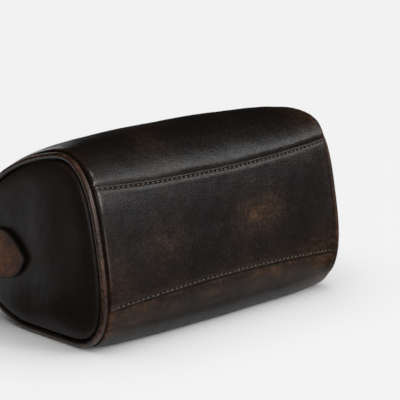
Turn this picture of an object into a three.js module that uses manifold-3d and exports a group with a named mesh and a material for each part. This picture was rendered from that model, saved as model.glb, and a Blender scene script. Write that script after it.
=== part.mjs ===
// A small barrel-shaped crossbody bag of leather, lying on its back panel.
// Millimetres, +Z up. X runs along the bag, its base faces -Y and its zip +Y.
// The walls are worked out in the bag's own section, as "out" (across the bag, plus towards
// the front panel) and "up" (from the base to the zip), and then laid down on the floor.
import * as THREE from 'three';
import { mergeVertices } from 'three/addons/utils/BufferGeometryUtils.js';
import Module from 'manifold-3d';

const wasm = await Module();
wasm.setup();

// ---------------------------------------------------------------- driving dimensions
const LENGTH = 200;           // between the centre planes of the two piping beads
const HALF_DEPTH = 55;        // half depth of the end at its widest, at the bead's centre line
const WIDEST_UP = 28;         // height of the widest place above the base seams
const BASE_DROP = 30.5;       // from the widest place down to the middle of the base
const DOME_RISE = 88;         // from the widest place up to the zip
const BASE_SQUARENESS = 2.75; // exponent of the end outline below the widest place
const DOME_SQUARENESS = 2.0;  // and above it
const LEAN_DEG = 10.5;        // the bag tips back this much when it lies on its tapered back
const FLOOR_UP = 61.3;        // height of the base's middle above the floor, before the lean
const MIDDLE_Y = 57.293;       // half of the extent along Y, so that the origin is under the middle

const WALL = 1.8;             // leather
const GAP = 0.3;              // between neighbouring pieces
const BEAD_R = 2.3;           // piping
const PRESS_SOFT = 1.4;       // how gently the bead bends where the floor presses it
const SEAM_MID = 33.0;        // half width between the base seams at mid-length
const SEAM_BOW = 4.2;         // and how much wider they run at the ends
const LAP_GAP = 0.55;         // under the lap, where both sheets bend
const LAP = 8;                // the front and back panels run this far under the base panel
const ZIP_HALF = 6;           // half of the slot between the front and back panels' top edges
const TAPE_HALF = 12;         // half width of the zip's tape
const TAPE = 1.0;             // its thickness
const TEETH_HALF = 2.6;
const TEETH_HIGH = 1.9;
const RING_WIRE_R = 1.6;
const RING_HALF = 15.6;       // half length of the ring's bar, to the bow's centre line
const RING_REACH = 18;        // from the bar to the top of the bow
const STRIP = 1.5;            // leather of the folded strap tab
const SLIDER_X = -80;         // the closed zip's slider stands near the left end

// how far the leather puffs out past the bead at mid-length, round the half girth from base to zip
const PUFF = [
  { girth: 0.00, puff: 2.4 },
  { girth: 0.10, puff: 2.7 },
  { girth: 0.18, puff: 3.2 },
  { girth: 0.257, puff: 4.2 },
  { girth: 0.30, puff: 5.8 },
  { girth: 0.334, puff: 7.2 },
  { girth: 0.39, puff: 8.5 },
  { girth: 0.45, puff: 9.2 },
  { girth: 0.75, puff: 9.2 },
  { girth: 0.88, puff: 7.0 },
  { girth: 1.00, puff: 4.0 },
];
// the share of that puff reached, by distance in from the end of the panel
const SWELL = [
  { inward: 0, share: 0.20 },
  { inward: 1, share: 0.36 },
  { inward: 3, share: 0.48 },
  { inward: 8, share: 0.61 },
  { inward: 18, share: 0.74 },
  { inward: 36, share: 0.87 },
  { inward: 62, share: 0.97 },
  { inward: 97.4, share: 1.00 },
];
// the crown of an end panel: how far it stands out beyond the bead's plane, by distance in from its rim
const CROWN = [
  { inward: 0.0, stands: -0.8 },
  { inward: 0.4, stands: 0.9 },
  { inward: 1.2, stands: 2.4 },
  { inward: 2.5, stands: 3.9 },
  { inward: 4.0, stands: 5.0 },
  { inward: 8.0, stands: 6.5 },
  { inward: 16.0, stands: 7.7 },
  { inward: 30.0, stands: 8.5 },
  { inward: 60.0, stands: 8.8 },
];
const CROWN_MIDDLE_UP = 47;   // height of the crown's middle
// half width of the strap tab, by distance from its tip
const TAB_OUTLINE = [
  { along: 0.0, half: 1.1 },
  { along: 1.5, half: 3.3 },
  { along: 4.1, half: 6.6 },
  { along: 7.5, half: 10.0 },
  { along: 11.0, half: 12.5 },
  { along: 15.5, half: 14.4 },
  { along: 21.0, half: 15.3 },
  { along: 29.0, half: 15.0 },
  { along: 38.0, half: 14.4 },
  { along: 50.0, half: 13.0 },
];
const TAB_TIP_UP = 55;        // height of the tab's tip on the end panel
const RING_UP = 97;           // height of the ring's bar
// the folded strip's middle line above the end panel, from the outer tip round the bar to the inner tip
const OUTER_LIFT = 2 * GAP + 1.5 * STRIP;
const INNER_LIFT = GAP + 0.5 * STRIP;
const LOOP_R = RING_WIRE_R + GAP + 0.5 * STRIP;

const COLOURS = { leather: 0x2a2019, edge: 0x120e0c, bead: 0x3c2a20, metal: 0x6f6354, tape: 0x191614 };

// ---------------------------------------------------------------- small helpers
const smooth = (a) => a * a * (3 - 2 * a);
function readTable(rows, key, value, at) {
  if (at <= rows[0][key]) return rows[0][value];
  for (let i = 1; i < rows.length; i++) {
    const a = rows[i - 1], b = rows[i];
    if (at <= b[key]) return a[value] + ((b[value] - a[value]) * (at - a[key])) / (b[key] - a[key]);
  }
  return rows[rows.length - 1][value];
}
const lean = THREE.MathUtils.degToRad(LEAN_DEG);
// from the bag's own section to the floor; nothing sinks below "least"
function lay(x, out, up, least = -Infinity) {
  const y = up * Math.cos(lean) + out * Math.sin(lean) - MIDDLE_Y;
  const z = -up * Math.sin(lean) + out * Math.cos(lean) + FLOOR_UP;
  return new THREE.Vector3(x, y, Math.max(z, least));
}

// ---------------------------------------------------------------- the end's outline
// half outline from the middle of the base to the zip, walked by arc length
const OUTLINE_STEPS = 600;
const outlineWalk = [];
for (let i = 0; i <= OUTLINE_STEPS; i++) {
  const turn = (i / OUTLINE_STEPS) * Math.PI;
  const low = turn < Math.PI / 2;
  const power = 2 / (low ? BASE_SQUARENESS : DOME_SQUARENESS);
  const across = Math.abs(Math.sin(turn)) ** power;
  const along = Math.abs(Math.cos(turn)) ** power;
  const point = { out: HALF_DEPTH * across, up: low ? WIDEST_UP - BASE_DROP * along : WIDEST_UP + DOME_RISE * along, walked: 0 };
  if (i) {
    const last = outlineWalk[i - 1];
    point.walked = last.walked + Math.hypot(point.out - last.out, point.up - last.up);
  }
  outlineWalk.push(point);
}
const HALF_GIRTH = outlineWalk[OUTLINE_STEPS].walked;
function walkRound(walked) {
  const w = THREE.MathUtils.clamp(walked, 0, HALF_GIRTH);
  let lo = 0, hi = OUTLINE_STEPS;
  while (hi - lo > 1) {
    const mid = (lo + hi) >> 1;
    if (outlineWalk[mid].walked <= w) lo = mid; else hi = mid;
  }
  const a = outlineWalk[lo], b = outlineWalk[hi];
  const f = (w - a.walked) / (b.walked - a.walked);
  return { out: a.out + (b.out - a.out) * f, up: a.up + (b.up - a.up) * f };
}
// the same on one side of the bag, with the bead pressed flat where it lies on the floor
function walkOutline(walked, side) {
  const p = walkRound(walked);
  const high = -p.up * Math.sin(lean) + side * p.out * Math.cos(lean) + FLOOR_UP;
  const clear = high - BEAD_R;
  const raise = (Math.hypot(clear, PRESS_SOFT) - clear) / 2;
  return { out: p.out + side * raise * Math.cos(lean), up: p.up - raise * Math.sin(lean) };
}
// point and outward direction at a signed distance round the girth: plus the front, minus the back
function outlineAt(walked) {
  const side = walked < 0 ? -1 : 1;
  const w = Math.abs(walked);
  const p = walkOutline(w, side);
  const before = walkOutline(w - 1.5, side), after = walkOutline(w + 1.5, side);
  let dOut = after.out - before.out, dUp = after.up - before.up;
  if (w < 1.5 || w > HALF_GIRTH - 1.5) dUp = 0;
  const l = Math.hypot(dOut, dUp) || 1;
  const face = w < 1.5 ? { out: 0, up: -1 } : w > HALF_GIRTH - 1.5 ? { out: 0, up: 1 } : { out: dUp / l, up: -dOut / l };
  return { out: side * p.out, up: p.up, faceOut: side * face.out, faceUp: face.up };
}
function girthOfOut(out) {
  let i = 0;
  while (outlineWalk[i].out < out) i++;
  const a = outlineWalk[i - 1], b = outlineWalk[i];
  return a.walked + ((b.walked - a.walked) * (out - a.out)) / (b.out - a.out);
}

// ---------------------------------------------------------------- the body's walls
const PANEL_END = LENGTH / 2 - BEAD_R - GAP;
// a place on the body: x along the bag, walked round the girth, depth under the leather's outer face
function wallPoint(x, walked, depth) {
  const o = outlineAt(walked);
  const puff = readTable(PUFF, 'girth', 'puff', Math.abs(walked) / HALF_GIRTH);
  const share = readTable(SWELL, 'inward', 'share', PANEL_END - Math.abs(x));
  const lift = puff * share - depth;
  return lay(x, o.out + o.faceOut * lift, o.up + o.faceUp * lift, Math.max(depth, 0));
}
function seamAt(x) {
  const u = x / (LENGTH / 2);
  return girthOfOut(SEAM_MID + SEAM_BOW * u * u);
}

// a closed sheet: rows by columns of points on its outer and inner face, joined round the rim
function thickSheet(rows, columns, outer, inner) {
  const positions = [], faces = [];
  for (const face of [outer, inner])
    for (let i = 0; i < rows; i++)
      for (let j = 0; j < columns; j++) positions.push(...face(i, j).toArray());
  const a = (i, j) => i * columns + j, b = (i, j) => rows * columns + i * columns + j;
  for (let i = 0; i + 1 < rows; i++)
    for (let j = 0; j + 1 < columns; j++) {
      faces.push(a(i, j), a(i, j + 1), a(i + 1, j + 1), a(i, j), a(i + 1, j + 1), a(i + 1, j));
      faces.push(b(i, j), b(i + 1, j + 1), b(i, j + 1), b(i, j), b(i + 1, j), b(i + 1, j + 1));
    }
  const rim = [];
  for (let j = 0; j + 1 < columns; j++) rim.push([0, j]);
  for (let i = 0; i + 1 < rows; i++) rim.push([i, columns - 1]);
  for (let j = columns - 1; j > 0; j--) rim.push([rows - 1, j]);
  for (let i = rows - 1; i > 0; i--) rim.push([i, 0]);
  rim.forEach(([i, j], k) => {
    const [i2, j2] = rim[(k + 1) % rim.length];
    faces.push(a(i, j), b(i, j), b(i2, j2), a(i, j), b(i2, j2), a(i2, j2));
  });
  return facingOut(positions, faces);
}
function facingOut(positions, faces) {
  let six = 0;
  const p = (i) => new THREE.Vector3(positions[3 * i], positions[3 * i + 1], positions[3 * i + 2]);
  for (let k = 0; k < faces.length; k += 3) six += p(faces[k]).dot(p(faces[k + 1]).cross(p(faces[k + 2])));
  if (six < 0) for (let k = 0; k < faces.length; k += 3) [faces[k + 1], faces[k + 2]] = [faces[k + 2], faces[k + 1]];
  const g = new THREE.BufferGeometry();
  g.setAttribute('position', new THREE.Float32BufferAttribute(positions, 3));
  g.setIndex(faces);
  g.computeVertexNormals();
  return g;
}

// columns along the bag are closer together near the ends, where the leather rolls to the bead
const ALONG = [0, 2.5, 6, 11, 18, 28, 40, 54, 69, 83];
const columnsX = [...ALONG.map((d) => d - PANEL_END), 0, ...[...ALONG].reverse().map((d) => PANEL_END - d)];

function bottomPanel() {
  const ROWS = 13;
  const at = (i, j, depth) => {
    const x = columnsX[j];
    return wallPoint(x, THREE.MathUtils.lerp(-seamAt(x), seamAt(x), i / (ROWS - 1)), depth);
  };
  return thickSheet(ROWS, columnsX.length, (i, j) => at(i, j, 0), (i, j) => at(i, j, WALL));
}
// the front (side 1) and back (side -1) panels start under the base panel and end beside the zip
function sidePanel(side) {
  const START = [-LAP, 0.4, 1.8, 5];    // distance past the base panel's edge
  const SPREAD = 17;                   // rows from there to the zip
  const dip = [                        // how deep the panel lies beside and under the base panel's edge
    { past: 0.4, depth: WALL + LAP_GAP },
    { past: 1.8, depth: 0.9 },
    { past: 5, depth: 0.5 },
    { past: 22, depth: 0 },
  ];
  const rows = START.length + SPREAD;
  const at = (i, j, deeper) => {
    const x = columnsX[j];
    const seam = seamAt(x), last = HALF_GIRTH - ZIP_HALF;
    const first = seam + START[START.length - 1];
    const walked = i < START.length ? seam + START[i] : THREE.MathUtils.lerp(first, last, (i - START.length + 1) / SPREAD);
    return wallPoint(x, side * walked, readTable(dip, 'past', 'depth', walked - seam) + deeper);
  };
  return thickSheet(rows, columnsX.length, (i, j) => at(i, j, 0), (i, j) => at(i, j, WALL));
}

// ---------------------------------------------------------------- the ends
// how far the end panel stands out at a place on it
const RIM_IN = BEAD_R + GAP;
function rimPoint(walked) {
  const o = outlineAt(walked);
  return { out: o.out - o.faceOut * RIM_IN, up: o.up - o.faceUp * RIM_IN };
}
const rimTurns = [];
for (let i = 0; i <= 480; i++) {
  const p = rimPoint(THREE.MathUtils.lerp(-HALF_GIRTH, HALF_GIRTH, i / 480));
  rimTurns.push({ turn: Math.atan2(p.out, CROWN_MIDDLE_UP - p.up), reach: Math.hypot(p.out, p.up - CROWN_MIDDLE_UP) });
}
function crownAt(out, up) {
  const turn = Math.atan2(out, CROWN_MIDDLE_UP - up);
  const reach = readTable(rimTurns, 'turn', 'reach', turn);
  return readTable(CROWN, 'inward', 'stands', Math.max(0, reach - Math.hypot(out, up - CROWN_MIDDLE_UP)));
}
function endPanel(end) {
  const ROUND = 44;
  const rings = CROWN.slice(0, -1);
  const positions = [], faces = [];
  const face = (deeper) => {
    const base = positions.length / 3;
    rings.forEach((ring, k) => {
      const before = CROWN[Math.max(0, k - 1)], after = CROWN[k + 1];
      let run = after.inward - before.inward, rise = after.stands - before.stands;
      const l = Math.hypot(run, rise);
      for (let r = 0; r < ROUND; r++) {
        const walked = ((r + 0.5) / ROUND) * 2 * HALF_GIRTH - HALF_GIRTH;
        const rim = rimPoint(walked);
        const away = { out: -rim.out, up: CROWN_MIDDLE_UP - rim.up };
        const reach = Math.hypot(away.out, away.up);
        const inward = ring.inward + (deeper * rise) / l;
        const stands = ring.stands - (deeper * run) / l;
        const f = Math.min(inward / reach, 0.98);
        positions.push(...lay(end * (LENGTH / 2 + stands), rim.out + away.out * f, rim.up + away.up * f).toArray());
      }
    });
    positions.push(...lay(end * (LENGTH / 2 + CROWN[CROWN.length - 1].stands - deeper), 0, CROWN_MIDDLE_UP).toArray());
    return base;
  };
  const a = face(0), b = face(WALL);
  const middle = rings.length * ROUND;
  for (let r = 0; r < ROUND; r++) {
    const q = (r + 1) % ROUND;
    for (let k = 0; k + 1 < rings.length; k++) {
      const c = [k * ROUND + r, k * ROUND + q, (k + 1) * ROUND + q, (k + 1) * ROUND + r];
      faces.push(a + c[0], a + c[1], a + c[2], a + c[0], a + c[2], a + c[3]);
      faces.push(b + c[0], b + c[2], b + c[1], b + c[0], b + c[3], b + c[2]);
    }
    const last = (rings.length - 1) * ROUND;
    faces.push(a + last + r, a + last + q, a + middle, b + last + r, b + middle, b + last + q);
    faces.push(a + r, b + r, b + q, a + r, b + q, a + q);
  }
  return facingOut(positions, faces);
}
function circle(radius, sides) {
  const s = new THREE.Shape();
  for (let i = 0; i < sides; i++) {
    const t = ((i + 0.5) / sides) * 2 * Math.PI;
    if (i) s.lineTo(radius * Math.cos(t), radius * Math.sin(t)); else s.moveTo(radius * Math.cos(t), radius * Math.sin(t));
  }
  s.closePath();
  return s;
}
// the bead runs once round the end and its two ends meet at the zip
function piping(end) {
  const POINTS = 64;
  const meet = 0.5 * GAP + 0.2;
  const path = [];
  for (let i = 0; i <= POINTS; i++) {
    const o = outlineAt(THREE.MathUtils.lerp(-HALF_GIRTH + meet, HALF_GIRTH - meet, i / POINTS));
    path.push(lay((end * LENGTH) / 2, o.out, o.up, BEAD_R));
  }
  return new THREE.ExtrudeGeometry(circle(BEAD_R, 8), { steps: 56, bevelEnabled: false, extrudePath: new THREE.CatmullRomCurve3(path, false, 'centripetal') });
}

// ---------------------------------------------------------------- strap tab and ring
// height of the tab's bed over the bead's plane: on the end panel, then level towards the ring
const LEVEL_FROM = 78, LEVEL_AT = 90;
const BED = crownAt(0, LEVEL_FROM);
function bedAt(out, up) {
  const f = smooth(THREE.MathUtils.clamp((up - LEVEL_FROM + 12) / (LEVEL_AT - LEVEL_FROM), 0, 1));
  return crownAt(out, Math.min(up, LEVEL_FROM)) * (1 - f) + BED * f;
}
const RING_LIFT = INNER_LIFT + LOOP_R;
function tabPath() {
  const path = [];
  const RUN = 13;
  const closer = (i) => (i / RUN) ** 1.7;  // short steps at the rounded tip
  const outerEnd = RING_UP - 2;
  for (let i = 0; i <= RUN; i++) {
    const up = THREE.MathUtils.lerp(TAB_TIP_UP, outerEnd, closer(i));
    const f = smooth(THREE.MathUtils.clamp((up - (RING_UP - 16)) / 14, 0, 1));
    path.push({ up, lift: THREE.MathUtils.lerp(OUTER_LIFT, RING_LIFT + LOOP_R, f) });
  }
  for (let i = 1; i < 6; i++) {
    const t = Math.PI / 2 - (i / 6) * Math.PI;
    path.push({ up: RING_UP + LOOP_R * Math.cos(t), lift: RING_LIFT + LOOP_R * Math.sin(t) });
  }
  for (let i = RUN; i >= 0; i--) path.push({ up: THREE.MathUtils.lerp(TAB_TIP_UP, RING_UP, closer(i)), lift: INNER_LIFT });
  return path;
}
function strapTab(end) {
  const path = tabPath();
  const ACROSS = 5;
  const at = (i, j, side) => {
    const a = path[Math.max(0, i - 1)], b = path[Math.min(path.length - 1, i + 1)], p = path[i];
    const half = readTable(TAB_OUTLINE, 'along', 'half', p.up - TAB_TIP_UP);
    const out = half * ((2 * j) / (ACROSS - 1) - 1);
    const run = b.up - a.up, rise = b.lift - a.lift, l = Math.hypot(run, rise);
    const up = p.up - ((side * STRIP) / 2) * (rise / l);
    const lift = p.lift + ((side * STRIP) / 2) * (run / l);
    return lay(end * (LENGTH / 2 + bedAt(out, p.up) + lift), out, up);
  };
  return thickSheet(path.length, ACROSS, (i, j) => at(i, j, 1), (i, j) => at(i, j, -1));
}

// ---------------------------------------------------------------- joining solids
function solidOf(geometry) {
  let g = geometry.index ? geometry.toNonIndexed() : geometry.clone();
  g.deleteAttribute('normal');
  g.deleteAttribute('uv');
  g = mergeVertices(g, 1e-3);
  return new wasm.Manifold(new wasm.Mesh({ numProp: 3, vertProperties: new Float32Array(g.attributes.position.array), triVerts: new Uint32Array(g.index.array) }));
}
function geometryOf(solid) {
  const mesh = solid.getMesh();
  const g = new THREE.BufferGeometry();
  g.setAttribute('position', new THREE.Float32BufferAttribute(Array.from(mesh.vertProperties), 3));
  g.setIndex(Array.from(mesh.triVerts));
  g.computeVertexNormals();
  return g;
}
const joined = (...geometries) => geometryOf(geometries.map(solidOf).reduce((a, b) => a.add(b)));
const placed = (g, x, y, z) => g.translate(x, y, z);

// a D: a straight bar along "out" and a bow, in the plane of "out" and "up"
function dRing() {
  const bow = [];
  for (let i = 0; i <= 12; i++) {
    const t = Math.PI * (i / 12);
    const flat = 0.82;
    bow.push(new THREE.Vector3(0, Math.max(0, RING_REACH * Math.sin(t) ** flat), RING_HALF * Math.sign(Math.cos(t)) * Math.abs(Math.cos(t)) ** flat));
  }
  const bar = new THREE.CylinderGeometry(RING_WIRE_R, RING_WIRE_R, 2 * RING_HALF + 2 * RING_WIRE_R, 8).rotateX(Math.PI / 2);
  const arc = new THREE.ExtrudeGeometry(circle(RING_WIRE_R, 8), { steps: 22, bevelEnabled: false, extrudePath: new THREE.CatmullRomCurve3(bow, false, 'centripetal') });
  return joined(bar, arc);
}

// ---------------------------------------------------------------- zip
function zipStrip(half, top, thick, reach) {
  const ACROSS = 5;
  const xs = columnsX.map((x) => THREE.MathUtils.clamp(x, -reach, reach)).filter((x, i, all) => !i || x - all[i - 1] > 0.5);
  const at = (i, j, deeper) => {
    const walked = half * ((2 * i) / (ACROSS - 1) - 1);
    return wallPoint(xs[j], walked < 0 ? -HALF_GIRTH - walked : HALF_GIRTH - walked, top + deeper);
  };
  return thickSheet(ACROSS, xs.length, (i, j) => at(i, j, 0), (i, j) => at(i, j, thick));
}
const TAPE_TOP = WALL + GAP;
// the slider's body straddles the teeth, and its pull hangs straight down
function zipSlider() {
  const seat = wallPoint(SLIDER_X, HALF_GIRTH, TAPE_TOP - GAP - TEETH_HIGH - 1.6 * GAP);
  const body = new THREE.BoxGeometry(11, 2.2, 8.4);
  const bridge = new THREE.BoxGeometry(6, 2.4, 2.6);
  const outline = new THREE.Shape();
  const PULL_LONG = 27, PULL_WIDE = 6.4, NECK = 3;
  outline.moveTo(-NECK / 2, 0);
  outline.lineTo(-PULL_WIDE / 2, -5);
  outline.lineTo(-PULL_WIDE / 2, -PULL_LONG + 2);
  outline.lineTo(-PULL_WIDE / 2 + 2, -PULL_LONG);
  outline.lineTo(PULL_WIDE / 2 - 2, -PULL_LONG);
  outline.lineTo(PULL_WIDE / 2, -PULL_LONG + 2);
  outline.lineTo(PULL_WIDE / 2, -5);
  outline.lineTo(NECK / 2, 0);
  outline.closePath();
  const pull = new THREE.ExtrudeGeometry(outline, { depth: 1.6, bevelEnabled: false }).rotateX(Math.PI / 2).rotateX(-Math.PI / 2);
  placed(body, 0, 1.1, 0);
  placed(bridge, 0, 3.2, 0);
  // the pull's plate stands in the plane of X and "out", just outside the bridge
  pull.rotateY(Math.PI);
  placed(pull, 0, 0, 0);
  const hung = pull.applyMatrix4(new THREE.Matrix4().makeBasis(new THREE.Vector3(1, 0, 0), new THREE.Vector3(0, 0, 1), new THREE.Vector3(0, -1, 0)));
  placed(hung, 0, 4.2, 0.8);
  return { geometry: joined(body, bridge, hung), seat };
}

// ---------------------------------------------------------------- the assembly
const finish = {
  leather: new THREE.MeshStandardMaterial({ color: COLOURS.leather, roughness: 0.45, metalness: 0 }),
  bead: new THREE.MeshStandardMaterial({ color: COLOURS.bead, roughness: 0.4, metalness: 0 }),
  edge: new THREE.MeshStandardMaterial({ color: COLOURS.edge, roughness: 0.35, metalness: 0 }),
  metal: new THREE.MeshStandardMaterial({ color: COLOURS.metal, roughness: 0.3, metalness: 1 }),
  tape: new THREE.MeshStandardMaterial({ color: COLOURS.tape, roughness: 0.9, metalness: 0 }),
};
const bag = new THREE.Group();
function piece(name, geometry, material, parent = bag) {
  const mesh = new THREE.Mesh(geometry, material.clone());
  mesh.name = name;
  parent.add(mesh);
  return mesh;
}
piece('bottom_panel', bottomPanel(), finish.leather);
piece('front_panel', sidePanel(1), finish.leather);
piece('back_panel', sidePanel(-1), finish.leather);
for (const [name, end] of [['left', -1], ['right', 1]]) {
  piece(`end_panel_${name}`, endPanel(end), finish.leather);
  piece(`piping_${name}`, piping(end), finish.bead);
  piece(`strap_tab_${name}`, strapTab(end), finish.edge);
  const ring = new THREE.Group();
  ring.position.copy(lay(end * (LENGTH / 2 + BED + RING_LIFT), 0, RING_UP));
  ring.rotation.x = -lean;
  bag.add(ring);
  piece(`d_ring_${name}`, dRing(), finish.metal, ring);
}
piece('zip_tape', zipStrip(TAPE_HALF, TAPE_TOP, TAPE, PANEL_END), finish.tape);
piece('zip_teeth', zipStrip(TEETH_HALF, TAPE_TOP - GAP - TEETH_HIGH, TEETH_HIGH, PANEL_END - 2), finish.metal);
const slider = zipSlider();
const sliderPlace = new THREE.Group();
sliderPlace.position.copy(slider.seat);
sliderPlace.rotation.x = -lean;
bag.add(sliderPlace);
piece('zip_slider', slider.geometry, finish.metal, sliderPlace);

export default bag;
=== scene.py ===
import math

import bmesh
import bpy
import numpy as np
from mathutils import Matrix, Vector


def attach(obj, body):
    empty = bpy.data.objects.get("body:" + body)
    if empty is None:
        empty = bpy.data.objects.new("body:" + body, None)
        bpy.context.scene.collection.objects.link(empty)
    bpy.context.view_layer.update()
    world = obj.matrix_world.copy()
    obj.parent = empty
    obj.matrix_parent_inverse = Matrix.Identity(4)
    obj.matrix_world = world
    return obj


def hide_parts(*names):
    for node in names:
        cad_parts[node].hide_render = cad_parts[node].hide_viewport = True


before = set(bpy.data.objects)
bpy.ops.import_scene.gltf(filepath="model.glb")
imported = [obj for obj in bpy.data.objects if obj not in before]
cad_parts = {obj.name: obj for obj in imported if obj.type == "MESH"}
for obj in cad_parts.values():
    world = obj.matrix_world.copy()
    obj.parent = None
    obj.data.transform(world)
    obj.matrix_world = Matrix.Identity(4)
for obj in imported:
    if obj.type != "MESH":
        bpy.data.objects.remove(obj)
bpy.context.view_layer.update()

MM = 0.001
rng = np.random.default_rng(11)

# ------------------------------------------------------------------ sizes, the same as the solids'
LENGTH, HALF_DEPTH, WIDEST_UP, BASE_DROP, DOME_RISE = 200.0, 55.0, 28.0, 30.5, 88.0
BASE_SQUARENESS, DOME_SQUARENESS = 2.75, 2.0
FLOOR_UP, MIDDLE_Y = 61.3, 57.293
WALL, GAP, BEAD_R, PRESS_SOFT = 1.8, 0.3, 2.3, 1.4
SEAM_MID, SEAM_BOW, ZIP_HALF, TAPE_HALF = 33.0, 4.2, 6.0, 12.0
RING_WIRE_R, RING_HALF, RING_REACH, STRIP = 1.6, 15.6, 18.0, 1.1
SLIDER_X, CROWN_MIDDLE_UP, TAB_TIP_UP, RING_UP = -80.0, 47.0, 55.0, 97.0
PANEL_END = LENGTH / 2 - BEAD_R - GAP
RIM_IN = BEAD_R + GAP
LEAN = math.radians(10.5)
CL, SL = math.cos(LEAN), math.sin(LEAN)
STITCH_PITCH = 3.7
SEAM_STITCH_IN = {1: 2.0, -1: 1.6}      # stitch rows' distance from the base panel's edges, front and back
ZIP_STITCH_IN = 3.0         # and from the folded edges beside the zip


def curve(*rows):
    """A smooth curve through a short table that never overshoots its rows."""
    xs, ys = np.array(rows, float).T
    h = np.diff(xs)
    d = np.diff(ys) / h
    m = np.zeros(len(xs))
    m[0], m[-1] = d[0], d[-1]
    for i in range(1, len(xs) - 1):
        if d[i - 1] * d[i] > 0:
            a, b = 2 * h[i] + h[i - 1], h[i] + 2 * h[i - 1]
            m[i] = (a + b) / (a / d[i - 1] + b / d[i])

    def read(v):
        v = np.clip(np.asarray(v, float), xs[0], xs[-1])
        i = np.clip(np.searchsorted(xs, v, "right") - 1, 0, len(h) - 1)
        t = (v - xs[i]) / h[i]
        return ((1 + 2 * t) * (1 - t) ** 2 * ys[i] + t * (1 - t) ** 2 * h[i] * m[i]
                + t * t * (3 - 2 * t) * ys[i + 1] + t * t * (t - 1) * h[i] * m[i + 1])
    return read


# puff of the leather at mid-length, by share of the half girth from base to zip
PUFF = curve((0, 2.4), (.10, 2.7), (.179, 3.4), (.257, 4.2), (.30, 5.8), (.334, 7.2), (.45, 9.2), (.75, 9.2), (1, 4.0))
# share of that puff, by distance in from the panel's end
SWELL = curve((0, .20), (.6, .38), (2, .47), (8, .60), (18, .74), (36, .87), (62, .97), (97.4, 1))
# crown of an end panel beyond the bead's plane, by distance in from its rim
CROWN = curve((0, -.8), (.2, .4), (.5, 1.3), (1.0, 2.05), (1.6, 2.5), (3, 3.0), (5, 3.6), (8, 4.3), (12, 5.0), (18, 5.8), (30, 6.8), (60, 7.6))
# half width of the tab, by the square root of the distance from its tip
TAB_HALF = curve((0, 0), (1.225, 3.3), (2.025, 6.6), (2.739, 10), (3.317, 12.5), (3.937, 14.4), (4.583, 15.3), (5.385, 15), (6.2, 14.4), (7.1, 13))
# how deep the front and the back panel lie, by distance past the base panel's edge
DIP = {1: curve((-8, 2.0), (-3, 1.75), (-1, .95), (0, .56), (.5, .42), (1.0, .29), (1.5, .18), (2.0, .09), (2.5, .04), (3.2, .01), (9, 0)),
       -1: curve((-8, 2.0), (-3, 1.55), (0, 1.15), (.8, 1.0), (2, .72), (4, .36), (6.5, .12), (9.5, 0))}


def smooth(a, b, v):
    t = np.clip((np.asarray(v, float) - a) / (b - a), 0, 1)
    return t * t * (3 - 2 * t)


def bell(v, width):
    return np.exp(-(np.asarray(v, float) / width) ** 2)


def waves(seed, shortest, longest, count=6):
    """A gentle uneven field over two lengths, about -1 to 1."""
    r = np.random.default_rng(seed)
    turn, phase = r.uniform(0, math.pi, count), r.uniform(0, 2 * math.pi, count)
    size = np.exp(r.uniform(math.log(shortest), math.log(longest), count))

    def read(a, b):
        total = 0
        for t, p, s in zip(turn, phase, size):
            total = total + np.sin(2 * math.pi * (a * math.cos(t) + b * math.sin(t)) / s + p)
        return total / math.sqrt(count * 1.6)
    return read


SLOW, QUICK_WAVES, FINE = waves(3, 38, 90), waves(5, 9, 24, 8), waves(8, 2.2, 5.5, 9)


def lay(x, out, up, least=None, soft=1.2):
    """From the bag's own section to the floor; leather flattens where the floor holds it."""
    y = up * CL + out * SL - MIDDLE_Y
    z = -up * SL + out * CL + FLOOR_UP
    if least is not None:
        z = least + (np.hypot(z - least, soft) + (z - least)) / 2
    x, y, z = np.broadcast_arrays(x, y, z)
    return np.stack([x, y, z], -1)


# ------------------------------------------------------------------ the end's outline
_turn = np.linspace(0, math.pi, 8001)
_low = _turn < math.pi / 2
_power = np.where(_low, 2 / BASE_SQUARENESS, 2 / DOME_SQUARENESS)
_across, _along = np.abs(np.sin(_turn)) ** _power, np.abs(np.cos(_turn)) ** _power
O_OUT = HALF_DEPTH * _across
O_UP = np.where(_low, WIDEST_UP - BASE_DROP * _along, WIDEST_UP + DOME_RISE * _along)
O_WALK = np.concatenate([[0], np.cumsum(np.hypot(np.diff(O_OUT), np.diff(O_UP)))])
HALF_GIRTH = O_WALK[-1]


def ring_at(walked):
    """A place on the bead's centre line: plus the front, minus the back, running on past the zip."""
    w = (np.asarray(walked, float) + HALF_GIRTH) % (2 * HALF_GIRTH) - HALF_GIRTH
    side = np.where(w < 0, -1.0, 1.0)
    out, up = np.interp(np.abs(w), O_WALK, O_OUT), np.interp(np.abs(w), O_WALK, O_UP)
    clear = -up * SL + side * out * CL + FLOOR_UP - BEAD_R
    lifted = (np.hypot(clear, PRESS_SOFT) - clear) / 2
    return side * out + lifted * CL, up - lifted * SL


def outline_at(walked):
    out, up = ring_at(walked)
    (o1, u1), (o2, u2) = ring_at(walked - 1.5), ring_at(walked + 1.5)
    d_out, d_up = o2 - o1, u2 - u1
    l = np.hypot(d_out, d_up)
    return out, up, d_up / l, -d_out / l


def girth_of_out(out):
    half = len(O_OUT) // 2
    return np.interp(out, O_OUT[:half], O_WALK[:half])


def seam_at(x, side):
    """The base panel's edge on the front's side (1) or the back's (-1)."""
    u = np.asarray(x, float) / (LENGTH / 2)
    return girth_of_out(SEAM_MID + SEAM_BOW * u * u) - (.75 + .6 * bell(u + .65, .40) if side > 0 else 1.1)


def towards_end(inward, length):
    """One at a panel's end, falling to nothing at mid-length."""
    last = math.exp(-PANEL_END / length)
    return (np.exp(-inward / length) - last) / (1 - last)


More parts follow.
